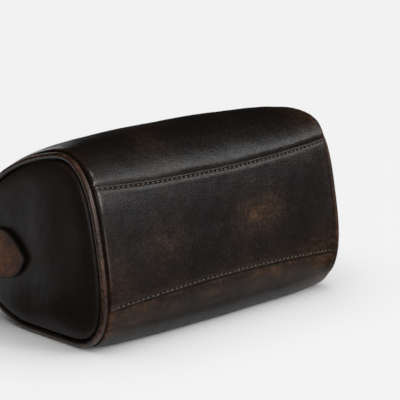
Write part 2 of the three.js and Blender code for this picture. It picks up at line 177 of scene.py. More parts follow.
def wall(x, walked, raised):
    """A place on the body, raised above the leather's outer face, or under it when minus."""
    out, up, face_out, face_up = outline_at(walked)
    inward = PANEL_END - np.abs(x)
    share = SWELL(inward) * np.where(x < 0, 1 - .16 * towards_end(inward, 40), 1 + .07 * towards_end(inward, 30))
    girth = np.abs((np.asarray(walked) + HALF_GIRTH) % (2 * HALF_GIRTH) - HALF_GIRTH) / HALF_GIRTH
    past = np.asarray(walked) - 45
    corner = (4.0 * bell(past, np.where(past < 0, 18.0, 9.5)) - .5 * bell(past - 17, 7)) * np.where(x > 0, towards_end(inward, 19), 0)
    lift = PUFF(girth) * share + corner + raised
    return lay(x, out + face_out * lift, up + face_up * lift, np.maximum(-raised, 0.02))


# ------------------------------------------------------------------ meshes from arrays
def mesh_object(name, points, faces, attributes=None, materials=(), material_index=None):
    mesh = bpy.data.meshes.new(name)
    mesh.from_pydata((np.asarray(points, float) * MM).tolist(), [], faces)
    for key, values in (attributes or {}).items():
        layer = mesh.attributes.new(key, "FLOAT", "POINT")
        layer.data.foreach_set("value", np.ascontiguousarray(values, np.float32))
    mesh.polygons.foreach_set("use_smooth", np.ones(len(mesh.polygons), bool))
    if material_index is not None:
        mesh.polygons.foreach_set("material_index", np.asarray(material_index, np.int32))
    mesh.update()
    piece = bpy.data.objects.new(name, mesh)
    bpy.context.scene.collection.objects.link(piece)
    for m in materials:
        mesh.materials.append(m)
    return piece


def facing_out(points, faces):
    """Turns every face over when the closed mesh is inside out."""
    six = 0.0
    by_size = {}
    for f in faces:
        by_size.setdefault(len(f), []).append(f)
    for size, some in by_size.items():
        some = np.array(some)
        for k in range(1, size - 1):
            a, b, c = points[some[:, 0]], points[some[:, k]], points[some[:, k + 1]]
            six += np.einsum("ij,ij->i", a, np.cross(b, c)).sum()
    return [f[::-1] for f in faces] if six < 0 else faces


def sheet(outer, inner):
    """A closed sheet from two grids of points: its skin and its flesh side."""
    m, n = outer.shape[:2]
    points = np.concatenate([outer.reshape(-1, 3), inner.reshape(-1, 3)])
    k = np.arange(m * n).reshape(m, n)
    skin = np.stack([k[:-1, :-1], k[:-1, 1:], k[1:, 1:], k[1:, :-1]], -1).reshape(-1, 4)
    rim = np.concatenate([k[0, :-1], k[:-1, -1], k[-1, :0:-1], k[:0:-1, 0]])
    nxt = np.roll(rim, -1)
    edge = np.stack([nxt, rim, rim + m * n, nxt + m * n], -1)
    faces = np.concatenate([skin, skin[:, ::-1] + m * n, edge]).tolist()
    return points, facing_out(points, faces)


def loop_grid(points):
    """A closed tube: rows run round its path and columns round its section."""
    m, n = points.shape[:2]
    k = np.arange(m * n).reshape(m, n)
    a, b = np.roll(k, -1, 0), np.roll(k, -1, 1)
    faces = np.stack([k, b, np.roll(a, -1, 1), a], -1).reshape(-1, 4).tolist()
    flat = points.reshape(-1, 3)
    return flat, facing_out(flat, faces)


def skin_only(values, shape):
    """An attribute that the flesh side doesn't carry."""
    values = np.broadcast_to(values, shape).reshape(-1)
    return np.concatenate([values, np.zeros_like(values)])


def spot(x, w, at, spread, amount):
    return amount * np.exp(-((x - at[0]) / spread[0]) ** 2 - ((w - at[1]) / spread[1]) ** 2)


# ------------------------------------------------------------------ materials
class Finish:
    """Small helper for node materials."""

    def __init__(self, name):
        self.material = bpy.data.materials.new(name)
        self.material.use_nodes = True
        self.tree = self.material.node_tree
        self.tree.nodes.clear()
        self.place = 0
        self.shader = self.node("ShaderNodeBsdfPrincipled")
        self.link(self.shader.outputs[0], self.node("ShaderNodeOutputMaterial").inputs[0])
        self.coord = self.node("ShaderNodeTexCoord").outputs["Object"]

    def node(self, kind, **settings):
        n = self.tree.nodes.new(kind)
        self.place += 1
        n.location = (180 * (self.place % 9), -220 * (self.place // 9))
        for key, value in settings.items():
            setattr(n, key, value)
        return n

    def link(self, a, b):
        self.tree.links.new(a, b)

    def feed(self, value, socket):
        if hasattr(value, "is_output"):
            self.link(value, socket)
        else:
            socket.default_value = value

    def math(self, operation, a, b=0.0, c=None, clamp=False):
        n = self.node("ShaderNodeMath", operation=operation, use_clamp=clamp)
        self.feed(a, n.inputs[0])
        self.feed(b, n.inputs[1])
        if c is not None:
            self.feed(c, n.inputs[2])
        return n.outputs[0]

    def span(self, value, from_low, from_high, low, high, smooth_ends=True):
        n = self.node("ShaderNodeMapRange", interpolation_type="SMOOTHSTEP" if smooth_ends else "LINEAR")
        self.feed(value, n.inputs[0])
        for i, v in enumerate((from_low, from_high, low, high)):
            self.feed(v, n.inputs[1 + i])
        return n.outputs[0]

    def stretched(self, scale):
        n = self.node("ShaderNodeMapping")
        self.link(self.coord, n.inputs[0])
        n.inputs["Scale"].default_value = scale
        return n.outputs[0]

    def noise(self, scale, detail=2.0, rough=0.5, vector=None, distortion=0.0):
        n = self.node("ShaderNodeTexNoise")
        self.link(vector or self.coord, n.inputs["Vector"])
        n.inputs["Scale"].default_value = scale
        n.inputs["Detail"].default_value = detail
        n.inputs["Roughness"].default_value = rough
        n.inputs["Distortion"].default_value = distortion
        return n.outputs[0]

    def cells(self, scale, feature="F1", vector=None, randomness=1.0):
        n = self.node("ShaderNodeTexVoronoi", feature=feature)
        self.link(vector or self.coord, n.inputs["Vector"])
        n.inputs["Scale"].default_value = scale
        n.inputs["Randomness"].default_value = randomness
        return n.outputs["Distance"]

    def wave(self, scale, direction, vector=None, distortion=0.0, profile="SIN"):
        n = self.node("ShaderNodeTexWave", wave_type="BANDS", bands_direction=direction, wave_profile=profile)
        self.link(vector or self.coord, n.inputs["Vector"])
        n.inputs["Scale"].default_value = scale
        n.inputs["Distortion"].default_value = distortion
        return n.outputs["Fac"]

    def attribute(self, name):
        return self.node("ShaderNodeAttribute", attribute_name=name).outputs["Fac"]

    def mix(self, factor, a, b):
        n = self.node("ShaderNodeMix", data_type="RGBA")
        self.feed(factor, n.inputs[0])
        for value, socket in ((a, n.inputs[6]), (b, n.inputs[7])):
            self.feed((*value, 1.0) if isinstance(value, tuple) else value, socket)
        return n.outputs[2]

    def scaled(self, colour, factor):
        n = self.node("ShaderNodeVectorMath", operation="SCALE")
        self.feed(colour, n.inputs[0])
        self.feed(factor, n.inputs["Scale"])
        return n.outputs[0]

    def bump(self, height, distance, strength=1.0, under=None):
        n = self.node("ShaderNodeBump")
        self.link(height, n.inputs["Height"])
        n.inputs["Distance"].default_value = distance
        n.inputs["Strength"].default_value = strength
        if under is not None:
            self.link(under, n.inputs["Normal"])
        return n.outputs[0]

    def done(self, colour, rough, normal, **constants):
        self.link(colour, self.shader.inputs["Base Color"])
        self.link(rough, self.shader.inputs["Roughness"])
        self.link(normal, self.shader.inputs["Normal"])
        for key, value in constants.items():
            self.shader.inputs[key.replace("_", " ")].default_value = value
        return self.material


def leather(name, dark, brown, rough=.33, rubbed=1.0, cloud=.16, grain=.00009, specular=.30, dent=.0004, shade_crevices=False):
    """Dark waxed leather that rubs through to brown where the wear attribute says: real rub, and on the beads also
    brown painted where their highlight falls.
    The groove attribute is painted shade, near black in grooves, beside beads and along stitch rows, with the dark
    lapped edge; "polish" is where handling has made it smoother; the crevice attribute takes the reflection out, as
    painted shade, under a lapped edge and beside a bead."""
    f = Finish(name)
    cloud_noise = f.noise(17, 3, .55)
    mottle = f.noise(95, 5, .62, distortion=.4)
    fine = f.noise(620, 3, .6)
    speckle = f.noise(1900, 2, .6)
    streak = f.noise(260, 3, .6, vector=f.stretched((.22, 1.0, 1.0)))
    wear_and_sheen, shade_and_dark_edge = f.attribute("wear_and_sheen"), f.attribute("shade_and_dark_edge")
    flecks = f.math("MULTIPLY", f.span(fine, .46, .70, 0, 1), f.span(speckle, .38, .62, .25, 1.15))
    patchy = f.span(mottle, .30, .74, .25, 1.2)
    fibrous = f.span(streak, .35, .7, .6, 1.2)
    rub = f.math("MULTIPLY", f.math("MULTIPLY", wear_and_sheen, rubbed), f.math("MULTIPLY", patchy, fibrous))
    mask = f.math("ADD", rub, f.span(cloud_noise, .48, .74, 0, cloud), clamp=True)
    grainy = f.math("MULTIPLY_ADD", flecks, .75, .45)
    shown = f.math("MULTIPLY_ADD", mask, grainy, f.math("MULTIPLY", flecks, .06), clamp=True)
    colour = f.mix(shown, dark, brown)
    # near black where the groove attribute is high: painted shade in grooves, beside beads and along stitch rows, and
    # the dark lapped edge
    colour = f.mix(f.math("MULTIPLY", shade_and_dark_edge, .85), colour, (.0030, .0024, .0021))
    r = f.math("MULTIPLY_ADD", mottle, .12, rough - .19)
    r = f.math("MULTIPLY_ADD", fine, .26, f.math("MULTIPLY_ADD", shown, .08, r))
    polish = f.attribute("polish")
    r = f.math("MULTIPLY_ADD", polish, -.15, r)
    r = f.math("MULTIPLY_ADD", shade_and_dark_edge, .25, r, clamp=True)
    pores = f.span(f.cells(980, "SMOOTH_F1"), .0, .62, 0, 1)
    height = f.math("MULTIPLY_ADD", f.noise(620, 1, .5), .9, f.math("MULTIPLY", pores, .55))
    height = f.math("MULTIPLY", height, f.math("MULTIPLY_ADD", polish, -.8, 1.0))
    normal = f.bump(height, grain, .7)
    normal = f.bump(f.math("MULTIPLY_ADD", f.noise(130, 2, .5), .7, cloud_noise), dent, .5, normal)
    if shade_crevices:
        # the reflection is taken out where the crevice attribute is high: painted shade under a lapped edge and beside
        # a bead
        f.link(f.math("MULTIPLY_ADD", f.attribute("crevice_shade"), -.95 * specular, specular, clamp=True), f.shader.inputs["Specular IOR Level"])
        return f.done(colour, r, normal)
    return f.done(colour, r, normal, Specular_IOR_Level=specular)


def painted_edge(name):
    """Edge paint: black, rounded and a little uneven."""
    f = Finish(name)
    fine, uneven = f.noise(900, 3, .6), f.noise(160, 3, .6)
    colour = f.mix(f.span(uneven, .45, .8, 0, .5), (.0036, .0030, .0027), (.010, .007, .005))
    rough = f.math("MULTIPLY_ADD", fine, .22, .34)
    return f.done(colour, rough, f.bump(f.math("ADD", fine, uneven), .00012, .6), Specular_IOR_Level=.25)


def thread(name):
    f = Finish(name)
    twist = f.wave(260, "DIAGONAL", distortion=.6)
    tone = f.noise(240, 2, .5)
    colour = f.mix(f.math("MULTIPLY_ADD", twist, .5, f.math("MULTIPLY", tone, .6), clamp=True), (.030, .022, .016), (.150, .112, .080))
    rough = f.math("MULTIPLY_ADD", tone, .2, .5)
    return f.done(colour, rough, f.bump(twist, .00012, .8), Specular_IOR_Level=.3)


# near-black marks for the needle holes: painted shade standing in for the dark inside each hole
def stitch_hole_shade(name):
    f = Finish(name)
    tone = f.noise(700, 2, .5)
    colour = f.mix(tone, (.002, .0017, .0015), (.006, .0045, .0035))
    return f.done(colour, f.math("MULTIPLY_ADD", tone, .1, .8), f.bump(tone, .0001, .4), Specular_IOR_Level=.1)


def aged_metal(name):
    """Antique brass: darkened in the hollows, rubbed bright on the edges."""
    f = Finish(name)
    tarnish, fine, scratch = f.noise(130, 4, .6), f.noise(900, 3, .6), f.noise(420, 2, .5, vector=f.stretched((1, .12, 1)))
    edge = f.node("ShaderNodeNewGeometry").outputs["Pointiness"]
    bright = f.math("ADD", f.span(edge, .5, .56, 0, .5), f.span(tarnish, .4, .65, .1, .7), clamp=True)
    colour = f.mix(bright, (.085, .058, .032), (.40, .29, .16))
    rough = f.math("MULTIPLY_ADD", tarnish, .25, f.math("MULTIPLY_ADD", scratch, .12, .16))
    return f.done(colour, rough, f.bump(f.math("ADD", fine, scratch), .00006, .5), Metallic=1.0)


def woven_tape(name):
    f = Finish(name)
    warp, weft = f.wave(300, "X"), f.wave(330, "Z", distortion=.2)
    tone, fuzz = f.noise(220, 3, .6), f.noise(2600, 2, .6)
    weave = f.math("MULTIPLY", warp, weft)
    colour = f.mix(f.math("MULTIPLY_ADD", weave, .7, f.math("MULTIPLY", tone, .3), clamp=True), (.004, .0038, .0036), (.022, .019, .017))
    rough = f.math("MULTIPLY_ADD", fuzz, .15, .78)
    return f.done(colour, rough, f.bump(f.math("ADD", weave, f.math("MULTIPLY", fuzz, .4)), .00025, .8), Specular_IOR_Level=.2)


def pale_floor(name):
    f = Finish(name)
    tone, fine = f.noise(3.0, 2, .5), f.noise(240, 2, .5)
    colour = f.mix(tone, (.800, .800, .800), (.812, .812, .812))
    return f.done(colour, f.math("MULTIPLY_ADD", fine, .04, .86), f.bump(fine, .00004, .1), Specular_IOR_Level=.12)


BLACK_BROWN, RUB_BROWN = (.0040, .0032, .0028), (.082, .036, .0145)
panel_leather = leather("panel_leather", BLACK_BROWN, RUB_BROWN, shade_crevices=True)
# the ends' copy of the body leather: its lighter dark tone is painted light, its weaker reflection painted shade
end_leather_painted_light_and_shade = leather("end_leather_painted_light_and_shade", (.0062, .0048, .0040), (.062, .030, .015), rough=.40, cloud=.08, grain=.00005, specular=.155)
bead_leather = leather("bead_leather", (.0045, .0032, .0025), (.130, .054, .026), rough=.27, cloud=.1, grain=.00005, specular=.45, dent=.0002)
# a copy of the bead leather for the right bead: its weaker reflection is painted shade, its brighter brown a painted
# highlight along the edge
far_bead_leather_shaded = leather("far_bead_leather_shaded", (.0045, .0030, .0023), (.150, .058, .026), rough=.44, cloud=.1, grain=.00005, specular=.16, dent=.0002)
tab_leather = leather("tab_leather", (.0170, .0090, .0060), (.165, .063, .027), rough=.42, cloud=.2, specular=.10)
edge_paint = painted_edge("edge_paint")
sewing_thread = thread("sewing_thread")
needle_hole_shade = stitch_hole_shade("needle_hole_shade")
brass = aged_metal("antique_brass")
tape_cloth = woven_tape("zip_tape_cloth")


# ------------------------------------------------------------------ the body's three panels
def columns():
    """Places along the bag, closer together where the leather rolls down to the bead."""
    near = np.array([0, .12, .3, .55, .85, 1.2, 1.6, 2.1, 2.7, 3.4, 4.2])
    middle = np.linspace(5.0, 2 * PANEL_END - 5.0, 208)
    return np.concatenate([near, middle, 2 * PANEL_END - near[::-1]]) - PANEL_END


X = columns()


def beside_bead(x, walked):
    """The panel's end rolls down to the bead and puckers a little between the hidden stitches."""
    inward = PANEL_END - np.abs(x)
    pucker = np.where(x < 0, .06, .14) * np.sin(2 * math.pi * walked / STITCH_PITCH) * np.exp(-inward / 2.6) * (1 + .4 * QUICK_WAVES(walked, x))
    return np.where(x < 0, -.9 * np.exp(-(inward / 1.0) ** 2) - .55 * np.exp(-(inward / 3.6) ** 2), -.9 * np.exp(-(inward / .7) ** 2)) + .15 * bell(inward - 2.6, 2.4) + .75 * (x > 0) * smooth(-.1, .9, inward) * np.exp(-inward / 10) * (1 - smooth(50, 75, np.abs(walked))) + pucker * smooth(0, 1.2, inward)


def uneven(x, walked):
    inward = PANEL_END - np.abs(x)
    return smooth(0, 14, inward) * (.17 * SLOW(x, walked) + .05 * QUICK_WAVES(x, walked)) + .018 * FINE(x, walked)


def sewn_row(distance, x, depth=.32):
    """The furrow that a row of stitches pulls into the leather, deepest at the needle holes."""
    hole = .5 + .5 * np.cos(2 * math.pi * x / STITCH_PITCH)
    return -depth * bell(distance, .55) * (.65 + .5 * hole ** 3) - .12 * (1 - .6 * smooth(20, 80, x)) * bell(distance, 1.6) + .10 * (1 - .8 * smooth(55, 90, x)) * bell(np.abs(distance) - 2.6, 1.6)


def rounded_edge(distance, wide, deep):
    e = np.clip(1 - distance / wide, 0, 1)
    return -deep * (1 - np.sqrt(np.maximum(1 - e ** 2, 0)))


def bottom_panel():
    back_edge = np.array([0, .05, .12, .22, .35, .52, .72, .96, 1.18, 1.34, 1.48, 1.6, 1.72, 1.86, 2.05, 2.3, 2.7, 3.2, 3.8, 4.6, 5.6, 6.6, 7.8, 9.0])
    front_edge = np.array([0, .06, .16, .32, .52, .75, 1.0, 1.25, 1.5, 1.7, 1.87, 2.0, 2.13, 2.3, 2.5, 2.75, 3.1, 3.5, 4.0, 4.8, 5.6, 6.6, 7.8, 9.0])
    back_seam, front_seam = seam_at(X, -1)[None, :], seam_at(X, 1)[None, :]
    middle = (9.0 - back_seam) + (back_seam + front_seam - 18.0) * np.linspace(0, 1, 32)[1:-1, None]
    w = np.concatenate([back_edge[:, None] - back_seam, middle, front_seam - front_edge[::-1, None]])
    x = np.broadcast_to(X[None, :], w.shape)
    e = np.where(w < 0, back_seam + w, front_seam - w)
    stitch_in = np.where(w < 0, SEAM_STITCH_IN[-1], SEAM_STITCH_IN[1])
    inward = PANEL_END - np.abs(x)
    raised = beside_bead(x, w) + uneven(x, w) + rounded_edge(e, np.where(w < 0, .35, 1.3), np.where(w < 0, .40, .48)) - np.where(w < 0, .08, .04) * np.exp(-e / 4) + sewn_row(e - stitch_in, x, np.where(w < 0, .32, .24)) * smooth(0, 2, inward)
    outer, inner = wall(x, w, raised), wall(x, w, -WALL + .1 + .7 * bell(e, 2.4))
    low = (w < 0) * np.exp(-e / 5.5)
    beside = np.where(x < 0, .22 + .10 * smooth(12, -16, w), .28)
    wear_and_sheen = (beside * (.55 * bell(inward - 2.4, 1.6) + .30 * np.exp(-inward / 9)) + .16 * np.exp(-e / 1.4) + .08 * np.exp(-e / 6) + .30 * low
            + spot(x, w, (25, 1.5), (15, 9.5), .95) + spot(x, w, (43, 4), (13, 8), .40) + spot(x, w, (-52, -2), (15, 10), .55)
            + spot(x, w, (-88, -20), (9, 16), .20) + spot(x, w, (84, -27), (20, 6), .35) + spot(x, w, (70, 30), (14, 4), .2))
    # the groove mask is painted shade along the stitch row and where the panel rolls down to the bead; along the
    # lapped edges it is the dark edge, made stronger on the back as painted shade under the step
    shade_and_dark_edge = .30 * bell(e - stitch_in, .45) + np.exp(-(inward / np.where(x < 0, .8, 1.4)) ** 2) + np.where(w < 0, 1.0, .3) * np.exp(-(e / .3) ** 2)
    points, faces = sheet(outer, inner)
    # the crevice mask takes the reflection out as painted shade: along the back lapped edge and beside the left bead
    return mesh_object("base_panel_leather", points, faces, {"wear_and_sheen": skin_only(wear_and_sheen, w.shape), "shade_and_dark_edge": skin_only(shade_and_dark_edge, w.shape),
                                                             "polish": skin_only(smooth(8, 2, inward) * (x < 0), w.shape),
                                                             "crevice_shade": skin_only(np.maximum((w < 0) * np.exp(-(e / .35) ** 2), (x < 0) * (1 - smooth(1.2, 2.2, inward))), w.shape)}, [panel_leather])


def side_panel(side):
    past = np.array([-3.0, -.6, -.1, .1, .3, .55, .8, 1.1, 1.4, 1.75, 2.1, 2.5, 3.0, 3.6, 4.6, 6.0, 7.6, 9.5])
    fold = np.array([12, 9.5, 7.5, 6.0, 5.0, 4.3, 3.8, 3.5, 3.3, 3.15, 3.0, 2.85, 2.7, 2.5, 2.2, 1.8, 1.4, 1.05, .75, .5, .3, .14, .04, 0])
    seam = seam_at(X, side)[None, :]
    last = HALF_GIRTH - ZIP_HALF
    first = seam + past[-1]
    middle = first + (last - fold[0] - first) * np.linspace(0, 1, 62)[1:-1, None]
    w = np.concatenate([seam + past[:, None], middle, np.broadcast_to(last - fold[:, None], (len(fold), len(X)))])
    x = np.broadcast_to(X[None, :], w.shape)
    p, t = w - seam, last - w
    inward = PANEL_END - np.abs(x)
    signed = side * w
    raised = (-DIP[side](p) + (beside_bead(x, signed) + uneven(x, signed)) * smooth(-1, 3, p) + rounded_edge(t, .95, .95)
              + sewn_row(t - ZIP_STITCH_IN, x) * smooth(0, 2, inward) + .05 * bell(p - 4.5, 2.5))
    outer, inner = wall(x, signed, raised), wall(x, signed, -DIP[side](p) - WALL + .1)
    wear_and_sheen = ((np.where(x < 0, .30, .55) if side > 0 else 1.0) * (.50 * bell(inward - 2.4, 1.6) + .28 * np.exp(-inward / 9)) + .10 * np.exp(-np.clip(p, 0, None) / 4) + .45 * np.exp(-t / 1.6)
            + spot(x, w, (88, 62), (12, 20), .45))
    if side < 0:
        wear_and_sheen = wear_and_sheen + .54 * smooth(0, 2, p) * bell(p - 6, 8) * (1 + .5 * SLOW(x * 1.7, w)) * (1 - .3 * smooth(30, 80, x)) + .25 * smooth(.6, 1.3, p) * np.exp(-p / 4) + spot(x, p, (-84, 7), (18, 9), .55)
    # the groove mask is painted shade: where the panel meets the bead, under the base panel's lapped edge (strong on
    # the back) and along the zip stitch row
    shade_and_dark_edge = np.exp(-(inward / .8) ** 2) + np.clip(1.1 - smooth(-.1, .25 if side > 0 else 1.0, p), 0, 1) * (.2 if side > 0 else 1.0) + .55 * bell(t - ZIP_STITCH_IN, .45)
    points, faces = sheet(outer, inner)
    # the crevice mask takes the reflection out as painted shade: under the base panel's edge on the back and beside
    # the left bead
    return mesh_object("front_panel_leather" if side > 0 else "back_panel_leather", points, faces,
                       {"wear_and_sheen": skin_only(np.clip(wear_and_sheen, 0, 1.3), w.shape), "shade_and_dark_edge": skin_only(np.clip(shade_and_dark_edge, 0, 1), w.shape),
                        "polish": skin_only(smooth(8, 2, inward) * (x < 0), w.shape),
                        "crevice_shade": skin_only(np.maximum((side < 0) * (1 - smooth(.3, 1.1, p)), (x < 0) * (1 - smooth(1.2, 2.2, inward))), w.shape)}, [panel_leather])


# ------------------------------------------------------------------ the ends
_rim_w = np.linspace(-HALF_GIRTH, HALF_GIRTH, 1441)
_o, _u, _fo, _fu = outline_at(_rim_w)
_ro, _ru = _o - _fo * RIM_IN, _u - _fu * RIM_IN
RIM_TURN, RIM_REACH = np.unwrap(np.arctan2(_ro, CROWN_MIDDLE_UP - _ru)), np.hypot(_ro, _ru - CROWN_MIDDLE_UP)
RIM_TURN[0], RIM_TURN[-1] = -math.pi, math.pi


def crown_at(out, up):
    reach = np.interp(np.arctan2(out, CROWN_MIDDLE_UP - up), RIM_TURN, RIM_REACH)
    return CROWN(np.maximum(0, reach - np.hypot(out, up - CROWN_MIDDLE_UP)))


def end_panel(end):
    ROUND = 420
    walked = (np.arange(ROUND) + .5) / ROUND * 2 * HALF_GIRTH - HALF_GIRTH
    out, up, face_out, face_up = outline_at(walked)
    rim_out, rim_up = out - face_out * RIM_IN, up - face_up * RIM_IN
    reach = np.hypot(rim_out, CROWN_MIDDLE_UP - rim_up)
    near = np.array([0, .03, .07, .12, .2, .32, .48, .7, 1.0, 1.4, 1.9, 2.5, 3.2, 4.0, 5.0, 6.2, 7.6, 9.2, 11, 13, 15.5, 18, 21, 24])
    far = 24 + (reach[None, :] - 24) * np.linspace(0, .97, 16)[1:, None]
    inward = np.concatenate([np.broadcast_to(near[:, None], (len(near), ROUND)), far])
    dents = waves(21 + end, 30, 70)
    ripple = waves(31 + end, 6, 15, 7)

    def face(deeper):
        slope = (CROWN(inward + .08) - CROWN(inward - .08)) / np.where(inward < .08, .08, .16)
        l = np.hypot(1, slope)
        share = np.minimum((inward + deeper * slope / l) / reach, .985)
        o, u = rim_out * (1 - share), rim_up + (CROWN_MIDDLE_UP - rim_up) * share
        level = smooth(.45, 1.0, share)
        stands = CROWN(inward) * (1 - level) + float(CROWN(55.0)) * level - deeper / l
        puckered = .06 * (1 + .8 * ripple(walked * .4, 0 * walked)) * np.sin(2 * math.pi * walked / STITCH_PITCH + 1.5 * ripple(walked, 0 * walked)) * np.exp(-inward / 2.8) * smooth(.2, 1.2, inward)
        soft = smooth(2, 16, inward)
        stands = stands + puckered + soft * (.42 * dents(o, u) - .25) + .05 * ripple(o, u) * soft
        here = np.zeros(1), np.full(1, CROWN_MIDDLE_UP)
        middle = lay(end * (LENGTH / 2 + CROWN(55.0) - .25 + .42 * dents(*here) + .05 * ripple(*here) - deeper), *here)
        return np.concatenate([lay(end * (LENGTH / 2 + stands), o, u).reshape(-1, 3), middle.reshape(1, 3)])

    a, b = face(0.0), face(WALL)
    k = np.arange(inward.size).reshape(inward.shape)
    nxt = np.roll(k, -1, 1)
    ring = np.stack([k[:-1], nxt[:-1], nxt[1:], k[1:]], -1).reshape(-1, 4)
    count = len(a)
    centre = inward.size
    fan = np.stack([k[-1], nxt[-1], np.full(ROUND, centre)], -1)
    edge = np.stack([nxt[0], k[0], k[0] + count, nxt[0] + count], -1)
    points = np.concatenate([a, b])
    faces = ring.tolist() + fan.tolist() + (ring[:, ::-1] + count).tolist() + (fan[:, ::-1] + count).tolist() + edge.tolist()
    faces = facing_out(points, faces)
    wear_and_sheen = .12 * np.exp(-np.maximum(inward - 1.0, 0) / 7) * (1 + .4 * dents(walked * .5, 0 * walked)) + .14 * bell(inward - 1.2, 1.2)
    # near black at the very rim: painted shade where the end meets the bead
    shade_and_dark_edge = np.exp(-(inward / .16) ** 2)
    values = lambda v: np.concatenate([np.append(v.reshape(-1), 0.0), np.zeros(count)])
    return mesh_object("end_leather_painted_light_and_shade_" + ("left" if end < 0 else "right"), points, faces, {"wear_and_sheen": values(wear_and_sheen), "shade_and_dark_edge": values(shade_and_dark_edge)}, [end_leather_painted_light_and_shade])


def bead(end):
    """The corded piping: a thin skin drawn over a cord, wrinkled where it turns the corners."""
    STEPS, SIDES = 760, 20
    w = (np.arange(STEPS) / STEPS * 2 - 1)[:, None] * HALF_GIRTH
    turn = (np.arange(SIDES) / SIDES * 2 * math.pi)[None, :]
    out, up, face_out, face_up = outline_at(w)
    tight = (.5 if end > 0 else 0.0) * (1 - smooth(5, 45, w))
    out, up = out - tight * face_out, up - tight * face_up
    _, _, fo1, fu1 = outline_at(w - 3)
    _, _, fo2, fu2 = outline_at(w + 3)
    bent = np.hypot(fo2 - fo1, fu2 - fu1) / 6
    wrinkle = waves(44 + end, 1.6, 3.4, 9)
    radius = (BEAD_R - .35) * (1 + .012 * FINE(w * .6, turn)) + .05 * wrinkle(w, 2.0 * np.cos(turn)) * (.35 + 22 * np.clip(bent, 0, .06))
    across = radius * np.cos(turn)
    points = lay(end * (LENGTH / 2 - .8 * tight) + end * radius * np.sin(turn), out + face_out * across, up + face_up * across, .02, .3)
    flat, faces = loop_grid(points)
    # the flange of the piping, sewn in between the end and the body
    across, along = np.array([-1.5, -7.0, -7.0, -1.5])[None, :], np.array([-2.8, -2.8, -3.5, -3.5])[None, :]
    strip, strip_faces = loop_grid(lay(end * (LENGTH / 2 + along) + 0 * w, out + face_out * across, up + face_up * across, .02, .3))
    faces = faces + [[v + len(flat) for v in f] for f in strip_faces]
    # brown is laid along the ridge the highlight falls on: part real rub, part painted highlight; the sides away from
    # that ridge go near black as painted shade, and the hidden flange is all dark
    ridge = .68 * np.cos(turn) + .73 * np.sin(turn) if end < 0 else .99 * np.cos(turn) + .10 * np.sin(turn)
    wear_and_sheen = (.66 + .3 * SLOW(w, 0 * w)) * smooth(.25, .95, ridge) * (1 - .25 * smooth(20, -30, w)) + .06
    shade_and_dark_edge = 1 - smooth(-.1, .62, ridge)
    hidden = np.zeros(len(strip))
    return mesh_object("piping_leather_" + ("left" if end < 0 else "right"), np.concatenate([flat, strip]), faces,
                       {"wear_and_sheen": np.append((wear_and_sheen + 0 * turn).reshape(-1), hidden), "shade_and_dark_edge": np.append((shade_and_dark_edge + 0 * w).reshape(-1), hidden + 1)}, [bead_leather if end < 0 else far_bead_leather_shaded])


# ------------------------------------------------------------------ strap tab and ring
LEVEL_FROM, LEVEL_AT = 78.0, 90.0
BED = float(crown_at(np.array(0.0), np.array(LEVEL_FROM)))
LOOP_R = RING_WIRE_R + GAP + .5 * STRIP
INNER_LIFT = GAP + .5 * STRIP
OUTER_LIFT = INNER_LIFT + STRIP + .12
RING_LIFT = INNER_LIFT + LOOP_R


def bed_at(out, up):
    f = smooth(0, 1, (up - LEVEL_FROM + 12) / (LEVEL_AT - LEVEL_FROM))
    return crown_at(out, np.minimum(up, LEVEL_FROM)) * (1 - f) + BED * f


def tab_outline():
    q = np.linspace(0, math.sqrt(RING_UP - TAB_TIP_UP), 260)
    half = TAB_HALF(q)
    return q * q + TAB_TIP_UP, half


